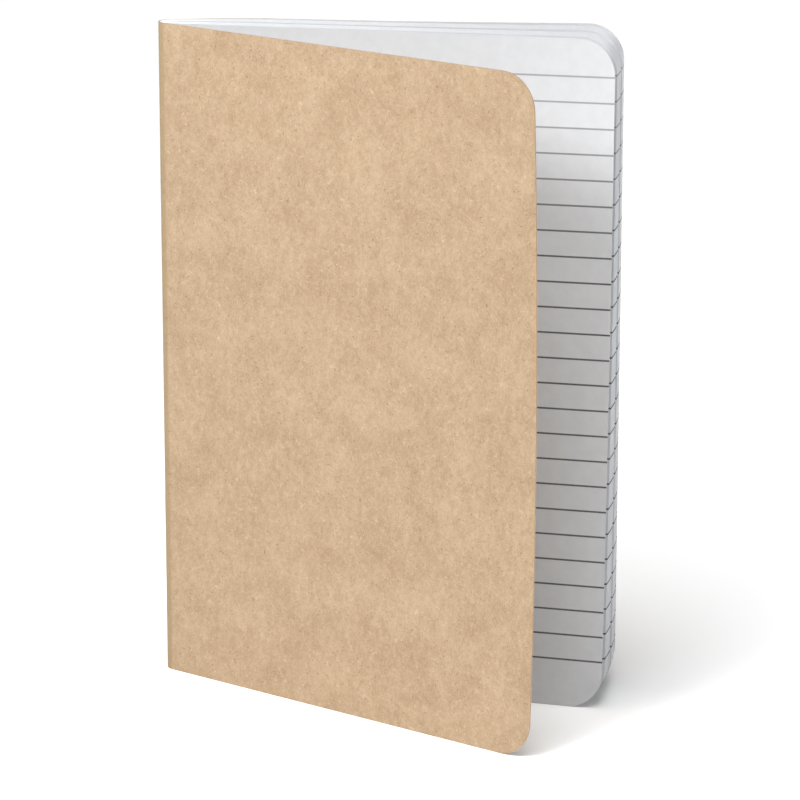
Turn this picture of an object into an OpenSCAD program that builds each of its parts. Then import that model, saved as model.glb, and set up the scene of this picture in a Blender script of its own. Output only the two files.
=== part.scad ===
// Stapled pocket notebook standing on its tail edge with the front cover swung open.
// Origin: on the fold axis, at the foot. +Z up the spine, +X along the middle plane of
// the leaves to the fore edge, and the front cover opens towards -Y.
// Leaves are counted from the front: leaf 1 lies under the front cover.

/* [Leaves] */
// Width of a leaf, from the fold axis to the fore edge
leaf_w = 100; // [80:1:130]
// Height of a leaf
leaf_h = 150; // [120:1:190]
// Radius of the cut corners at the fore edge
corner_r = 8; // [4:0.5:15]
// Number of folded sheets, each of which makes two leaves
sheet_count = 16; // [6:1:16]
// Thickness of the paper
paper_t = 0.1; // [0.08:0.01:0.1]
// Air between two neighbouring sheets at the fold
paper_gap = 0.025; // [0.02:0.005:0.03]
// Inside radius of the innermost fold, which holds the clinched staple ends
fold_r = 0.35; // [0.35:0.05:0.6]

/* [Cover] */
// Thickness of the cover card
card_t = 0.35; // [0.25:0.05:0.5]
// Air between the rounded end of a cover panel and the spine
crease_gap = 0.02; // [0.02:0.01:0.05]

/* [Rest pose] */
// Angle between the first and the last leaf as the notebook stands
fan_angle = 8.4; // [4:0.1:20]
// Angle by which the first and the last leaf stand off the other leaves
stand_off = 1.4; // [0:0.1:2]
// Angle between the two leaves at the centre spread
centre_angle = 1.2; // [0.4:0.1:2]
// Angle between the front cover and the first leaf
cover_angle = 23.4; // [0:0.1:60]

/* [Staples] */
// Diameter of the staple wire
wire_d = 0.45; // [0.4:0.05:0.5]
// Length of a staple's crown
crown_len = 12; // [8:0.5:14]
// Length of each clinched end
clinch_len = 4.5; // [3:0.5:5]
// Distance of each staple's middle from the head or the tail edge
staple_inset = 35; // [20:1:50]
// Air around the wire where it goes through paper or card
wire_gap = 0.03; // [0.02:0.01:0.05]

/* [Hidden] */
$fn = 64;
leaf_count = 2 * sheet_count;
pitch = paper_t + paper_gap;
card_in = fold_r + sheet_count * pitch;       // inside radius of the spine
card_mid = card_in + card_t / 2;              // radius at which the covers crease
wire_r = wire_d / 2;
hole_r = wire_r + wire_gap;
crown_x = -(card_in + wire_r);                // the crown is pressed into the card
clinch_x = wire_r - fold_r + wire_gap;        // the ends lie inside the innermost fold
step_angle = ((fan_angle - centre_angle) / 2 - stand_off) / (sheet_count - 1);
crease_end = asin((card_t / 2 + crease_gap) / card_mid);
staple_z = [staple_inset, leaf_h - staple_inset];

// Sheet 1 is the outermost one
function sheet_of(i) = min(i, leaf_count + 1 - i);
function side_of(i) = i <= sheet_count ? -1 : 1;
function inner_r(k) = fold_r + (sheet_count - k) * pitch;
function half_fan(k) = centre_angle / 2 + (sheet_count - k) * step_angle + (k == 1 ? stand_off : 0);
function two_digits(i) = str(i < 10 ? "0" : "", i);
function leaf_name(i) = str("leaf_", two_digits(i));
function fold_name(k) = str("fold_", two_digits(k));

// A panel's outline with its fore-edge corners cut round
module panel_outline() {
    square([leaf_w - corner_r, leaf_h]);
    translate([0, corner_r]) square([leaf_w, leaf_h - 2 * corner_r]);
    for (y = [corner_r, leaf_h - corner_r])
        translate([leaf_w - corner_r, y]) circle(r = corner_r);
}

// The outline stood up in the XZ plane, from y = 0 to y = t
module standing_panel(t) {
    translate([0, t, 0]) rotate([90, 0, 0]) linear_extrude(t) panel_outline();
}

// A wall bent round the fold axis, between two angles
module bent_wall(r, t, from, to) {
    rotate([0, 0, from]) rotate_extrude(angle = to - from)
        translate([r, 0]) square([t, leaf_h]);
}

// Holes for the legs of both staples, from the spine inwards
module leg_holes() {
    for (z = staple_z, s = [-1, 1])
        translate([crown_x - wire_d, 0, z + s * crown_len / 2])
            rotate([0, 90, 0]) cylinder(h = card_mid + wire_d, r = hole_r);
}

// Slots in the card that take the crowns
module crown_slots() {
    slot_h = crown_len + 2 * hole_r;
    for (z = staple_z)
        translate([crown_x - wire_d, -hole_r, z - slot_h / 2])
            cube([wire_d * 3, 2 * hole_r, slot_h]);
}

// One leaf, tangent to its fold at x = 0 and turned to its place in the fan
module leaf(i) {
    k = sheet_of(i);
    s = side_of(i);
    color("white") rotate([0, 0, s * half_fan(k)])
        translate([0, s > 0 ? inner_r(k) : -inner_r(k) - paper_t, 0])
            standing_panel(paper_t);
}

// The fold that joins the two leaves of one sheet
module fold(k) {
    color("gainsboro") difference() {
        bent_wall(inner_r(k), paper_t, 90 + half_fan(k), 270 - half_fan(k));
        leg_holes();
    }
}

// A cover panel that hinges on the rounded end at its crease
module cover_panel() {
    translate([0, -card_t / 2, 0]) standing_panel(card_t);
    cylinder(h = leaf_h, d = card_t);
}

module cover_front() {
    color("tan") rotate([0, 0, -fan_angle / 2]) translate([0, -card_mid, 0])
        rotate([0, 0, -cover_angle]) cover_panel();
}

module cover_back() {
    color("tan") rotate([0, 0, fan_angle / 2]) translate([0, card_mid, 0]) cover_panel();
}

// The part of the cover card that wraps round the folds
module cover_spine() {
    half = fan_angle / 2 + crease_end;
    color("burlywood") difference() {
        bent_wall(card_in, card_t, 90 + half, 270 - half);
        crown_slots();
    }
}

// A wire staple: crown outside the folds, legs through them, ends clinched inside
module staple(z) {
    color("silver") translate([0, 0, z]) {
        translate([crown_x, 0, -crown_len / 2]) cylinder(h = crown_len, r = wire_r);
        for (s = [-1, 1]) {
            for (x = [crown_x, clinch_x])
                translate([x, 0, s * crown_len / 2]) sphere(r = wire_r);
            translate([crown_x, 0, s * crown_len / 2])
                rotate([0, 90, 0]) cylinder(h = clinch_x - crown_x, r = wire_r);
            translate([clinch_x, 0, s * (crown_len - clinch_len) / 2 - clinch_len / 2])
                cylinder(h = clinch_len, r = wire_r);
        }
    }
}

cover_front();
cover_spine();
cover_back();
for (i = [1:leaf_count])
    leaf(i);
for (k = [1:sheet_count])
    fold(k);
staple(staple_z[1]);  // staple_head
staple(staple_z[0]);  // staple_tail
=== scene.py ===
import math
import random

import bpy
import numpy as np
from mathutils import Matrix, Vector


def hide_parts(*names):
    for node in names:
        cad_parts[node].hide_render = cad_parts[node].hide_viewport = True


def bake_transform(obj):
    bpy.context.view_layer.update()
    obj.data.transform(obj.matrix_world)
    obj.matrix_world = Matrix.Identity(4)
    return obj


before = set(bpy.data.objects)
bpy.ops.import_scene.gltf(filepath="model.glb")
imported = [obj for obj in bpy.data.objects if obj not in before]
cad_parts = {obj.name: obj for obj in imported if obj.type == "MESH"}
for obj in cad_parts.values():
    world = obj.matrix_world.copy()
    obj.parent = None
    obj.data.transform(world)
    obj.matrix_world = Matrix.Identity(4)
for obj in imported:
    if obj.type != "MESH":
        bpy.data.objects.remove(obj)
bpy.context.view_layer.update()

scene = bpy.context.scene
mm = 0.001
inMm = 1000                        # metres to millimetres, for the patterns
pageSize = (100 * mm, 150 * mm)
sheetCount = 16
leafCount = 2 * sheetCount
cornerSteps = 12


def pick(obj):
    # only obj is selected and active afterwards
    if bpy.context.mode != "OBJECT":
        bpy.ops.object.mode_set(mode="OBJECT")
    bpy.ops.object.select_all(action="DESELECT")
    obj.select_set(True)
    bpy.context.view_layer.objects.active = obj


def pickVerts(obj, test):
    # edit mode with only the vertices that pass the test
    pick(obj)
    bpy.ops.object.mode_set(mode="EDIT")
    bpy.ops.mesh.select_mode(type="VERT")
    bpy.ops.mesh.select_all(action="DESELECT")
    bpy.ops.object.mode_set(mode="OBJECT")
    for v in obj.data.vertices:
        v.select = test(v.co)
    bpy.ops.object.mode_set(mode="EDIT")


def flatPlate(name, fromX, toX, cutsX, cutsZ, cornerR=0.0):
    # a standing sheet in the XZ plane with its fore-edge corners cut round
    height = pageSize[1]
    bpy.ops.mesh.primitive_plane_add(size=1, location=((fromX + toX) / 2, 0, height / 2),
                                     rotation=(math.pi / 2, 0, 0))
    plate = bpy.context.object
    plate.name = plate.data.name = name
    plate.scale = (toX - fromX, height, 1)
    pick(plate)
    bpy.ops.object.transform_apply(location=True, rotation=True, scale=True)
    if cornerR > 0:
        pickVerts(plate, lambda p: p.x > toX - 1e-6)
        bpy.ops.mesh.bevel(offset=cornerR, segments=cornerSteps, profile=0.5, affect="VERTICES")
    pickVerts(plate, lambda p: True)
    for x in cutsX:
        bpy.ops.mesh.select_all(action="SELECT")
        bpy.ops.mesh.bisect(plane_co=(x, 0, 0), plane_no=(1, 0, 0))
    for z in cutsZ:
        bpy.ops.mesh.select_all(action="SELECT")
        bpy.ops.mesh.bisect(plane_co=(0, 0, z), plane_no=(0, 0, 1))
    bpy.ops.object.mode_set(mode="OBJECT")
    return plate


def copyOf(source, name):
    twin = source.copy()
    twin.data = source.data.copy()
    twin.name = twin.data.name = name
    bpy.context.collection.objects.link(twin)
    pick(twin)
    return twin


def rollFold(sheet, side, radius, angle, steps):
    # moves the sheet out to its radius and spins its spine edge round the fold axis
    pick(sheet)
    sheet.location.y = side * radius
    bpy.ops.object.transform_apply(location=True, rotation=False, scale=False)
    pickVerts(sheet, lambda p: p.x < 1e-6)
    bpy.ops.mesh.spin(steps=steps, angle=-side * angle, center=(0, 0, 0), axis=(0, 0, 1))
    bpy.ops.mesh.select_all(action="SELECT")
    bpy.ops.mesh.remove_doubles(threshold=1e-6)
    bpy.ops.mesh.normals_make_consistent(inside=False)
    bpy.ops.object.mode_set(mode="OBJECT")


def thicken(sheet, thickness):
    # gives the sheet its thickness; the cut rim takes the second material
    pick(sheet)
    wall = sheet.modifiers.new("thickness", "SOLIDIFY")
    wall.thickness = thickness
    wall.offset = 0
    wall.use_even_offset = True
    wall.use_rim = True
    wall.material_offset_rim = 1
    bpy.ops.object.modifier_apply(modifier=wall.name)


def turnAbout(sheet, angle):
    pick(sheet)
    sheet.rotation_euler.z = angle
    bpy.ops.object.transform_apply(location=False, rotation=True, scale=False)


def vertsOf(obj):
    co = np.empty(len(obj.data.vertices) * 3, dtype=np.float32)
    obj.data.vertices.foreach_get("co", co)
    return co.reshape(-1, 3).astype(float)


def setVerts(obj, co):
    obj.data.vertices.foreach_set("co", co.astype(np.float32).ravel())
    obj.data.update()


def smoothOut(obj, degrees=35):
    pick(obj)
    bpy.ops.object.shade_smooth_by_angle(angle=math.radians(degrees))


def newMaterial(name):
    mat = bpy.data.materials.new(name)
    mat.use_nodes = True
    nodes = mat.node_tree.nodes
    shader = nodes["Principled BSDF"]
    return mat, nodes, mat.node_tree.links, shader


def mathNode(nodes, links, kind, a, b=0.0):
    n = nodes.new("ShaderNodeMath")
    n.operation = kind
    for i, v in enumerate((a, b)):
        if isinstance(v, (int, float)):
            n.inputs[i].default_value = v
        else:
            links.new(v, n.inputs[i])
    return n.outputs[0]


def ramp(nodes, links, value, low, high, fromV=0.0, toV=1.0):
    n = nodes.new("ShaderNodeMapRange")
    n.interpolation_type = "SMOOTHSTEP"
    links.new(value, n.inputs["Value"])
    n.inputs["From Min"].default_value = low
    n.inputs["From Max"].default_value = high
    n.inputs["To Min"].default_value = fromV
    n.inputs["To Max"].default_value = toV
    return n.outputs["Result"]


def noiseAt(nodes, links, vector, scale, detail=2.0, rough=0.5, distortion=0.0,
            shift=(0, 0, 0), stretch=(1, 1, 1), turn=0.0):
    place = nodes.new("ShaderNodeMapping")
    place.inputs["Location"].default_value = shift
    place.inputs["Rotation"].default_value = (0, 0, turn)
    place.inputs["Scale"].default_value = stretch
    links.new(vector, place.inputs["Vector"])
    n = nodes.new("ShaderNodeTexNoise")
    n.inputs["Scale"].default_value = scale
    n.inputs["Detail"].default_value = detail
    n.inputs["Roughness"].default_value = rough
    n.inputs["Distortion"].default_value = distortion
    links.new(place.outputs["Vector"], n.inputs["Vector"])
    return n.outputs["Fac"]


def mixColor(nodes, links, factor, a, b):
    n = nodes.new("ShaderNodeMix")
    n.data_type = "RGBA"
    if isinstance(factor, (int, float)):
        n.inputs["Factor"].default_value = factor
    else:
        links.new(factor, n.inputs["Factor"])
    for socket, v in ((n.inputs[6], a), (n.inputs[7], b)):
        if isinstance(v, tuple):
            socket.default_value = (*v, 1)
        else:
            links.new(v, socket)
    return n.outputs[2]


def objectPlace(nodes, links):
    # object coordinates in millimetres
    coords = nodes.new("ShaderNodeTexCoord")
    scaled = nodes.new("ShaderNodeMapping")
    scaled.inputs["Scale"].default_value = (inMm, inMm, inMm)
    links.new(coords.outputs["Object"], scaled.inputs["Vector"])
    return scaled.outputs["Vector"]


def addRelief(nodes, links, shader, height, strength, depth):
    bump = nodes.new("ShaderNodeBump")
    bump.inputs["Strength"].default_value = strength
    bump.inputs["Distance"].default_value = depth
    links.new(height, bump.inputs["Height"])
    links.new(bump.outputs["Normal"], shader.inputs["Normal"])


# colours are linear RGB; each noise is (scale, detail, roughness, distortion) per millimetre
kraftLook = {
    "light": (0.428, 0.312, 0.200),
    "dark": (0.312, 0.214, 0.127),
    "fibre": (0.560, 0.440, 0.310),
    "fibreShow": 0.45,
    "speck": (0.185, 0.114, 0.066),
    "speckShow": 0.55,
    # painted shade on the card where it wraps round the spine
    "foldPaintedShade": (0.270, 0.190, 0.098),
    "cut": (0.360, 0.245, 0.160),
    "roughness": 0.82,
    "cloud": (0.09, 3.0, 0.55, 0.4),
    "blotch": (0.42, 5.0, 0.72, 0.5),
    "grain": (2.2, 2.0, 0.7, 0.3),
    "shares": (0.25, 0.35, 0.40),       # cloud, blotch and grain in the tone
    "toneRange": (0.36, 0.64),
    "lean": 0.7,                        # radians by which the blotches and grain lean
    # pale fibres and dark hairs: scale, width, seed, mask scale, mask level
    "paleFibres": ((0.55, 0.012, 2.0, 0.50, 0.53),
                   (0.80, 0.014, 9.0, 0.62, 0.55),
                   (1.15, 0.017, 23.0, 0.85, 0.56)),
    "darkHairs": (0.62, 0.008, 41.0, 0.45, 0.63),
    "dotScale": 1.9,
    "dotLevel": (0.765, 0.81),
    "foldShadeReach": (2.5, 3.4),            # mm from the middle of the spine
    "foldShadeShow": 0.6,
    "cutShow": 0.75,
    "relief": 0.22,
    "reliefDepth": 0.00012,
}


def fibreLines(nodes, links, vector, scale, width, seed, maskScale, share):
    # thin curved hairs: contour lines of a noise, broken up by a second noise
    field = noiseAt(nodes, links, vector, scale, 1.5, 0.5, 0.6, (seed, seed * 0.7, 0))
    off = mathNode(nodes, links, "ABSOLUTE", mathNode(nodes, links, "SUBTRACT", field, 0.5))
    line = ramp(nodes, links, off, width * 0.35, width, 1.0, 0.0)
    gate = noiseAt(nodes, links, vector, maskScale, 1.0, 0.5, 0.0, (0, seed * 1.3, seed))
    return mathNode(nodes, links, "MULTIPLY", line, ramp(nodes, links, gate, share, share + 0.05))


def kraftMaterial(name, cutEdge=False):
    look = kraftLook
    mat, nodes, links, shader = newMaterial(name)
    place = nodes.new("ShaderNodeAttribute")
    place.attribute_type = "GEOMETRY"
    place.attribute_name = "cardPlace"       # strip length, height and skin, in millimetres
    at = place.outputs["Vector"]
    cloud = noiseAt(nodes, links, at, *look["cloud"])
    blotch = noiseAt(nodes, links, at, *look["blotch"], (31, 7, 0), (1.25, 0.8, 1), look["lean"])
    grain = noiseAt(nodes, links, at, *look["grain"], (3, 11, 0), (1.2, 0.85, 1), look["lean"])
    tone = 0.0
    for part, share in zip((cloud, blotch, grain), look["shares"]):
        tone = mathNode(nodes, links, "ADD", mathNode(nodes, links, "MULTIPLY", part, share), tone)
    mixed = ramp(nodes, links, tone, *look["toneRange"])
    color = mixColor(nodes, links, mixed, look["dark"], look["light"])
    pale = 0.0
    for fibres in look["paleFibres"]:
        pale = mathNode(nodes, links, "MAXIMUM", fibreLines(nodes, links, at, *fibres), pale)
    shown = mathNode(nodes, links, "MULTIPLY", pale, look["fibreShow"])
    color = mixColor(nodes, links, shown, color, look["fibre"])
    hair = fibreLines(nodes, links, at, *look["darkHairs"])
    dot = noiseAt(nodes, links, at, look["dotScale"], 0.0, 0.5, 0.0, (55, 2, 0))
    dark = mathNode(nodes, links, "MAXIMUM", hair, ramp(nodes, links, dot, *look["dotLevel"]))
    shown = mathNode(nodes, links, "MULTIPLY", dark, look["speckShow"])
    color = mixColor(nodes, links, shown, color, look["speck"])
    # painted shade: the card is a little darker where it wraps round the sheets
    split = nodes.new("ShaderNodeSeparateXYZ")
    links.new(at, split.inputs[0])
    fromSpine = mathNode(nodes, links, "ABSOLUTE", split.outputs["X"])
    near = ramp(nodes, links, fromSpine, *look["foldShadeReach"], 1.0, 0.0)
    shadedAtFold = mixColor(nodes, links, look["foldShadeShow"], color, look["foldPaintedShade"])
    color = mixColor(nodes, links, near, color, shadedAtFold)
    if cutEdge:
        color = mixColor(nodes, links, look["cutShow"], color, look["cut"])
    links.new(color, shader.inputs["Base Color"])
    links.new(ramp(nodes, links, grain, 0.3, 0.7, look["roughness"] - 0.06, look["roughness"] + 0.08),
              shader.inputs["Roughness"])
    shader.inputs["Specular IOR Level"].default_value = 0.28
    shader.inputs["Sheen Weight"].default_value = 0.06
    relief = mathNode(nodes, links, "ADD", mathNode(nodes, links, "MULTIPLY", grain, 0.7),
                      mathNode(nodes, links, "MULTIPLY", pale, 0.35))
    addRelief(nodes, links, shader, relief, look["relief"], look["reliefDepth"])
    return mat


paperLook = {
    # the sheet colours are greyer than white paper: partly the paper's own grey, partly painted shade
    # that darkens the page faces
    "sheet": (0.620, 0.635, 0.657),
    "shade": (0.592, 0.607, 0.629),
    # painted light: the cut edge is far lighter than the sheet, for the brightly lit edges of the
    # leaves
    "cut": (0.930, 0.935, 0.942),
    "ink": (0.060, 0.062, 0.070),
    "firstLine": 10.70,      # height of the lowest line, mm
    "linePitch": 5.697,
    "lineWidth": 0.40,
    "lineCount": 24,
    "inkCover": (0.86, 0.98),
    # painted light: the ruled lines fade towards the head
    "headGlareInk": 0.55,         # share of the ink on the highest line
    "glareEndLine": 15,       # full from this line down
    "pulp": (0.35, 4.0, 0.6),
    "tooth": (4.0, 3.0, 0.6),
    "cutShow": 0.7,
    "roughness": (0.58, 0.70),
    "relief": 0.10,
    "reliefDepth": 0.00005,
}


def paperMaterial(name, cutEdge=False):
    look = paperLook
    mat, nodes, links, shader = newMaterial(name)
    at = objectPlace(nodes, links)
    pulp = noiseAt(nodes, links, at, *look["pulp"])
    tooth = noiseAt(nodes, links, at, *look["tooth"], 0.0, (5, 3, 9))
    # the sheet colours carry painted shade as well as the pulp's tone
    color = mixColor(nodes, links, ramp(nodes, links, pulp, 0.3, 0.7), look["shade"], look["sheet"])
    # painted light: the cut edges take the far lighter cut colour
    if cutEdge:
        color = mixColor(nodes, links, look["cutShow"], color, look["cut"])
    split = nodes.new("ShaderNodeSeparateXYZ")
    links.new(at, split.inputs[0])
    z = split.outputs["Z"]
    # distance to the nearest ruled line; the lines are numbered from the lowest, line 0
    rise = mathNode(nodes, links, "SUBTRACT", z, look["firstLine"])
    step = mathNode(nodes, links, "DIVIDE", rise, look["linePitch"])
    part = mathNode(nodes, links, "FRACT", mathNode(nodes, links, "ADD", step, 0.5))
    away = mathNode(nodes, links, "ABSOLUTE", mathNode(nodes, links, "SUBTRACT", part, 0.5))
    away = mathNode(nodes, links, "MULTIPLY", away, look["linePitch"])
    line = ramp(nodes, links, away, look["lineWidth"] * 0.42, look["lineWidth"] * 0.58, 1.0, 0.0)
    fromMiddle = mathNode(nodes, links, "SUBTRACT", step, (look["lineCount"] - 1) / 2)
    fromMiddle = mathNode(nodes, links, "ABSOLUTE", fromMiddle)
    inside = mathNode(nodes, links, "LESS_THAN", fromMiddle, look["lineCount"] / 2)
    line = mathNode(nodes, links, "MULTIPLY", line, inside)
    uneven = ramp(nodes, links, tooth, 0.25, 0.75, *look["inkCover"])
    # painted light: the ruled lines fade towards the brightly lit head of the page
    glareFade = ramp(nodes, links, step, look["glareEndLine"], look["lineCount"] - 1, 1.0, look["headGlareInk"])
    uneven = mathNode(nodes, links, "MULTIPLY", uneven, glareFade)
    color = mixColor(nodes, links, mathNode(nodes, links, "MULTIPLY", line, uneven), color, look["ink"])
    links.new(color, shader.inputs["Base Color"])
    links.new(ramp(nodes, links, tooth, 0.3, 0.7, *look["roughness"]), shader.inputs["Roughness"])
    shader.inputs["Specular IOR Level"].default_value = 0.3
    addRelief(nodes, links, shader, tooth, look["relief"], look["reliefDepth"])
    return mat


wireLook = {
    "bright": (0.72, 0.72, 0.73),
    "dull": (0.46, 0.46, 0.48),
    "roughness": 0.30,
    "drawnOut": (4, 4, 0.3),       # draws the noise out along the wire
}


def wireMaterial(name):
    look = wireLook
    mat, nodes, links, shader = newMaterial(name)
    at = objectPlace(nodes, links)
    drawn = noiseAt(nodes, links, at, 3.0, 3.0, 0.6, 0.0, (0, 0, 0), look["drawnOut"])
    links.new(mixColor(nodes, links, ramp(nodes, links, drawn, 0.3, 0.7), look["dull"], look["bright"]),
              shader.inputs["Base Color"])
    links.new(ramp(nodes, links, drawn, 0.3, 0.7, look["roughness"] - 0.06, look["roughness"] + 0.12),
              shader.inputs["Roughness"])
    shader.inputs["Metallic"].default_value = 1.0
    return mat


kraftFace = kraftMaterial("kraftCard")
kraftCut = kraftMaterial("kraftCutEdge", cutEdge=True)
paperFace = paperMaterial("ruledPaper")
paperLitRim = paperMaterial("paperRimPaintedLight", cutEdge=True)
wire = wireMaterial("stapleWire")
print("materials made")


curl = {
    "leafBow": 1.0 * mm,       # the middle of the fore edge lies this far behind its ends
    "leafTwist": 3.5 * mm,     # head of the fore edge back, tail of it forward
    "coverBow": 1.8 * mm,
    "bulge": 2.2 * mm,         # the last leaves belly out behind the fold
    "bulgeAt": 18 * mm,
    "spread": 1.0 * mm,        # uneven air between leaves, all of them together
    "extraAir": ((4, 1.0), (12, 1.6), (21, 1.4)),   # leaf, extra share of air behind it
    "softStart": 6 * mm,       # bending sets in over this length from the fold
    "seed": 7,
}
dice = random.Random(curl["seed"])
airShares = [dice.uniform(0.1, 1.0) ** 2 for i in range(leafCount + 1)]
for i, extra in curl["extraAir"]:
    airShares[i] += extra
airTilts = [dice.uniform(-0.9, 0.3) for i in range(leafCount + 1)]
airTotal = sum(airShares)


def towardsFore(u, power=1.0):
    # 0 at the fold with no kink there, 1 at the fore edge
    w = pageSize[0]
    soft = np.maximum(u, 0) ** 2 / (np.maximum(u, 0) + curl["softStart"])
    return (soft / (w ** 2 / (w + curl["softStart"]))) ** power


def leafCurl(i, u, z):
    # how far leaf i stands off its flat plane, towards the back
    t = 2 * z / pageSize[1] - 1
    off = curl["leafBow"] * towardsFore(u, 1.6) * (1 - t ** 2)
    off += curl["leafTwist"] * towardsFore(u) * t
    b = np.maximum(u, 0) / curl["bulgeAt"]
    off += curl["bulge"] * (i - 1) / (leafCount - 1) * b ** 2 * np.exp(2 - 2 * b)
    for j in range(1, i):
        off += curl["spread"] * airShares[j] / airTotal * towardsFore(u, 1.4) * (1 + airTilts[j] * t)
    return off


def coverCurl(u, z):
    t = 2 * z / pageSize[1] - 1
    return curl["coverBow"] * towardsFore(u, 1.6) * (1 - t ** 2)


def bendSheet(sheet, angle, curlOf):
    # shifts every vertex along the sheet's own normal
    co = vertsOf(sheet)
    c, s = math.cos(angle), math.sin(angle)
    u = co[:, 0] * c + co[:, 1] * s
    off = curlOf(u, co[:, 2])
    co[:, 0] -= off * s
    co[:, 1] += off * c
    setVerts(sheet, co)


leafSpec = {
    "thickness": 0.10 * mm,
    "air": 0.025 * mm,
    "foldR": 0.35 * mm,        # inside radius of the innermost fold
    "cornerR": 8 * mm,
    "centreAngle": 1.2,        # degrees, between the two middle leaves
    "fanAngle": 8.4,           # degrees, first to last leaf
    "standOff": 1.4,           # degrees, the first and last leaf off the others
    "foldSteps": 7,
    "blendReach": 0.6,         # the bend ends this many fold radii up the leaf
}
cutsX = [x * mm for x in (0.8, 2, 4, 7, 11, 15, 19, 24, 30, 37, 45, 54, 63, 72, 81, 88, 92, 96)]
cutsZ = [pageSize[1] * n / 18 for n in range(1, 18)]


def halfFan(sheet):
    halfSpread = (leafSpec["fanAngle"] - leafSpec["centreAngle"]) / 2 - leafSpec["standOff"]
    step = halfSpread / (sheetCount - 1)
    extra = leafSpec["standOff"] if sheet == 1 else 0
    return math.radians(leafSpec["centreAngle"] / 2 + (sheetCount - sheet) * step + extra)


def foldRadius(sheet):
    # middle of the paper, from the fold axis
    pitch = leafSpec["thickness"] + leafSpec["air"]
    return leafSpec["foldR"] + (sheetCount - sheet) * pitch + leafSpec["thickness"] / 2


blankLeaf = flatPlate("blankLeaf", 0, pageSize[0], cutsX, cutsZ, leafSpec["cornerR"])
blankLeaf.data.materials.append(paperFace)
blankLeaf.data.materials.append(paperLitRim)
for i in range(1, leafCount + 1):
    sheet = min(i, leafCount + 1 - i)
    side = -1 if i <= sheetCount else 1
    half = halfFan(sheet)
    radius = foldRadius(sheet)
    leaf = copyOf(blankLeaf, f"ruledLeaf{i:02d}")
    rollFold(leaf, side, radius, math.pi / 2 - half, leafSpec["foldSteps"])
    thicken(leaf, leafSpec["thickness"])
    turnAbout(leaf, side * half)
    bendSheet(leaf, side * half, lambda u, z: leafCurl(i, u, z))
    smoothOut(leaf)
    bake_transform(leaf)
    if side < 0:
        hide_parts(f"leaf_{i:02d}", f"fold_{sheet:02d}")
    else:
        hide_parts(f"leaf_{i:02d}")
bpy.data.objects.remove(blankLeaf)
print("ruled leaves made")


coverSpec = {
    "thickness": 0.35 * mm,
    "radius": 2.525 * mm,      # middle of the card where it wraps round the sheets
    "frontAngle": -27.6,       # degrees from +X
    "backAngle": 4.2,
    "frontReach": 101 * mm,    # from the fold axis to the fore edge
    "backReach": 100 * mm,
    "seam": 2 * mm,            # the spine piece runs this far on to the panel
    "hinge": 4 * mm,           # length over which the card bends at the crease
    "cornerR": 8 * mm,
    "foldSteps": 10,
    "halvesApart": 200 * mm,   # keeps the pattern of one half from repeating on the other
    "slotHalf": 0.26 * mm,     # slot for a staple's crown, half its width
    "slotHeight": 12.6 * mm,
    "slotsAt": (35 * mm, 115 * mm),
}
panelCuts = [coverSpec["seam"] + x * mm for x in
             (0.6, 1.2, 1.8, 2.4, 3.0, 3.6, 4.4, 6, 9, 13, 18, 24, 31, 39, 48, 57, 66, 75, 84, 90, 94)]


def markCard(piece, side, wrap):
    # strip length from the middle of the spine, height and skin, for the card's pattern
    co = vertsOf(piece)
    r = coverSpec["radius"]
    turned = np.arctan2(-co[:, 0], side * co[:, 1])
    along = np.where(co[:, 0] < 0, -r * turned, co[:, 0]) + r * wrap
    skin = np.where(co[:, 0] < 0, np.hypot(co[:, 0], co[:, 1]), np.abs(co[:, 1])) - r
    place = piece.data.attributes.new("cardPlace", "FLOAT_VECTOR", "POINT")
    skin += coverSpec["halvesApart"] * side
    rows = np.stack([along * side, co[:, 2], skin], axis=1) * inMm
    place.data.foreach_set("vector", rows.astype(np.float32).ravel())


def finishCard(piece, side, angle, curlOf, wrap):
    thicken(piece, coverSpec["thickness"])
    markCard(piece, side, wrap)
    turnAbout(piece, angle)
    bendSheet(piece, angle, curlOf)
    smoothOut(piece, 30)


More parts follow.
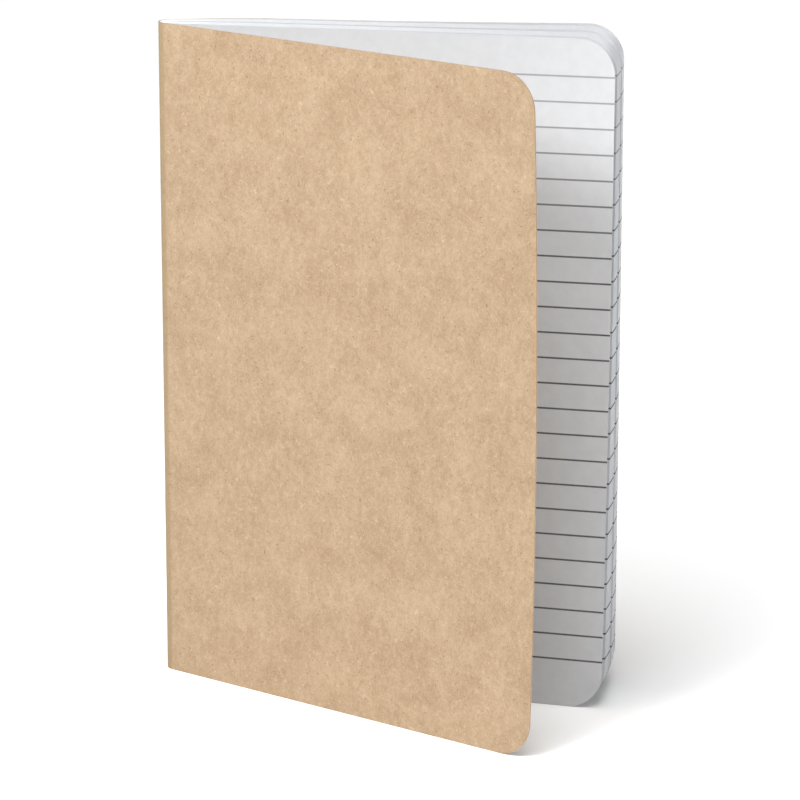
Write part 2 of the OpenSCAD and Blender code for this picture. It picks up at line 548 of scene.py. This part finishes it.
def coverHalf(spineName, panelName, side, angleDegrees, coverBody, reach):
    # the back cover lies on the last leaf and curls with it
    curlOf = coverCurl if side < 0 else lambda u, z: leafCurl(leafCount + 1, u, z)
    angle = math.radians(angleDegrees)
    r = coverSpec["radius"]
    wrap = math.radians(90 - side * angleDegrees)
    seamX = coverSpec["seam"]
    # the half of the spine, with half a slot for each staple crown
    slotEdges = [z + s * coverSpec["slotHeight"] / 2 for z in coverSpec["slotsAt"] for s in (-1, 1)]
    spine = flatPlate(spineName, 0, seamX, [seamX / 2], cutsZ + slotEdges)
    spine.data.materials.append(kraftFace)
    spine.data.materials.append(kraftCut)
    rollFold(spine, side, r, wrap, coverSpec["foldSteps"])
    edge = Vector((-math.sin(wrap), side * math.cos(wrap), 0))
    pickVerts(spine, lambda p: True)
    across = Vector((edge.y, -edge.x, 0)) * side      # along the card at the middle of the spine
    notch = edge * r + across * coverSpec["slotHalf"]
    bpy.ops.mesh.bisect(plane_co=notch, plane_no=across)
    bpy.ops.object.mode_set(mode="OBJECT")
    pick(spine)
    bpy.ops.object.mode_set(mode="EDIT")
    bpy.ops.mesh.select_mode(type="FACE")
    bpy.ops.mesh.select_all(action="DESELECT")
    bpy.ops.object.mode_set(mode="OBJECT")
    for f in spine.data.polygons:
        middle = f.center
        inSlot = any(abs(middle.z - z) < coverSpec["slotHeight"] / 2 for z in coverSpec["slotsAt"])
        f.select = inSlot and (middle - notch).dot(across) < 0 and middle.x < 0
    bpy.ops.object.mode_set(mode="EDIT")
    bpy.ops.mesh.delete(type="FACE")
    bpy.ops.object.mode_set(mode="OBJECT")
    finishCard(spine, side, angle, curlOf, wrap)
    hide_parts("cover_spine")
    # the flat panel
    panel = flatPlate(panelName, seamX, reach, panelCuts, cutsZ, coverSpec["cornerR"])
    panel.data.materials.append(kraftFace)
    panel.data.materials.append(kraftCut)
    pick(panel)
    panel.location.y = side * r
    bpy.ops.object.transform_apply(location=True, rotation=False, scale=False)
    finishCard(panel, side, angle, curlOf, wrap)
    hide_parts(coverBody)
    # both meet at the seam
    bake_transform(spine)
    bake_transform(panel)


coverHalf("coverSpineFront", "coverPanelFront", -1, coverSpec["frontAngle"],
          "cover_front", coverSpec["frontReach"])
coverHalf("coverSpineBack", "coverPanelBack", 1, coverSpec["backAngle"],
          "cover_back", coverSpec["backReach"])
print("kraft cover made")


for name in ("staple_head", "staple_tail"):
    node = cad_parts[name]
    node.data.materials.clear()
    node.data.materials.append(wire)
print("staples dressed")


studio = {
    "floorSize": 12,
    "floorAt": (0, 2, -0.03 * mm),
    "floor": (0.965, 0.965, 0.968),
    "world": 0.03,
    "key": 0.45,               # strength, degrees left of -Y, degrees up, softness in degrees
    "keyLeft": 28.0,
    "keyUp": 33.0,
    "keySoft": 25.0,
    "top": 3.0,
    "topLeft": 15.0,
    "topUp": 74.0,
    "topSoft": 45.0,
    "fill": 1.6,
    "lamp": 2.05,              # watts of the near lamp, which fades down the cover
    "fillFrom": (0.62, -0.03, 0.14),
    "fillTo": (0.09, -0.01, 0.05),
    "fillSize": 0.15,
    "lampFrom": (-0.15, -0.34, 0.43),
    "lampTo": (0.04, -0.03, 0.11),
    "lampSize": 0.20,
    "cameraAt": (0.21398, -0.91839, 0.31614),
    "cameraTo": (0.04993, 0.00884, 0.06335),
    "lens": 194.02,
    "sensor": 36,
}
bpy.ops.mesh.primitive_plane_add(size=studio["floorSize"], location=studio["floorAt"])
floor = bpy.context.object
floor.name = "studioFloor"
floorMat, floorNodes, floorLinks, shader = newMaterial("floorPaint")
shader.inputs["Base Color"].default_value = (*studio["floor"], 1)
shader.inputs["Roughness"].default_value = 0.9
shader.inputs["Specular IOR Level"].default_value = 0.1
floor.data.materials.append(floorMat)

world = bpy.data.worlds.new("softRoom")
world.use_nodes = True
world.node_tree.nodes["Background"].inputs["Color"].default_value = (1, 1, 1, 1)
world.node_tree.nodes["Background"].inputs["Strength"].default_value = studio["world"]
scene.world = world
scene.view_settings.view_transform = "Standard"


def softSun(name, left, up, strength, soft):
    # a broad light far away, so that the floor is evenly bright
    bpy.ops.object.light_add(type="SUN", location=(0, 0, 1))
    sun = bpy.context.object
    sun.name = name
    sun.data.energy = strength
    sun.data.angle = math.radians(soft)
    left, up = math.radians(left), math.radians(up)
    fromWhere = Vector((-math.sin(left) * math.cos(up), -math.cos(left) * math.cos(up), math.sin(up)))
    sun.rotation_euler = (-fromWhere).to_track_quat("-Z", "Y").to_euler()


softSun("keyLight", studio["keyLeft"], studio["keyUp"], studio["key"], studio["keySoft"])
softSun("topLight", studio["topLeft"], studio["topUp"], studio["top"], studio["topSoft"])


def softLamp(name, place, target, size, watts):
    bpy.ops.object.light_add(type="AREA", location=place)
    lamp = bpy.context.object
    lamp.name = name
    lamp.data.shape = "DISK"
    lamp.data.size = size
    lamp.data.energy = watts
    lamp.rotation_euler = (Vector(target) - Vector(place)).to_track_quat("-Z", "Y").to_euler()


softLamp("foreEdgeFill", studio["fillFrom"], studio["fillTo"], studio["fillSize"], studio["fill"])
softLamp("nearLamp", studio["lampFrom"], studio["lampTo"], studio["lampSize"], studio["lamp"])

bpy.ops.object.camera_add(location=studio["cameraAt"])
camera = bpy.context.object
camera.name = "frontCamera"
camera.data.lens = studio["lens"]
camera.data.sensor_width = studio["sensor"]
lookAlong = Vector(studio["cameraTo"]) - Vector(studio["cameraAt"])
camera.rotation_euler = lookAlong.to_track_quat("-Z", "Y").to_euler()
scene.camera = camera
print("studio ready")
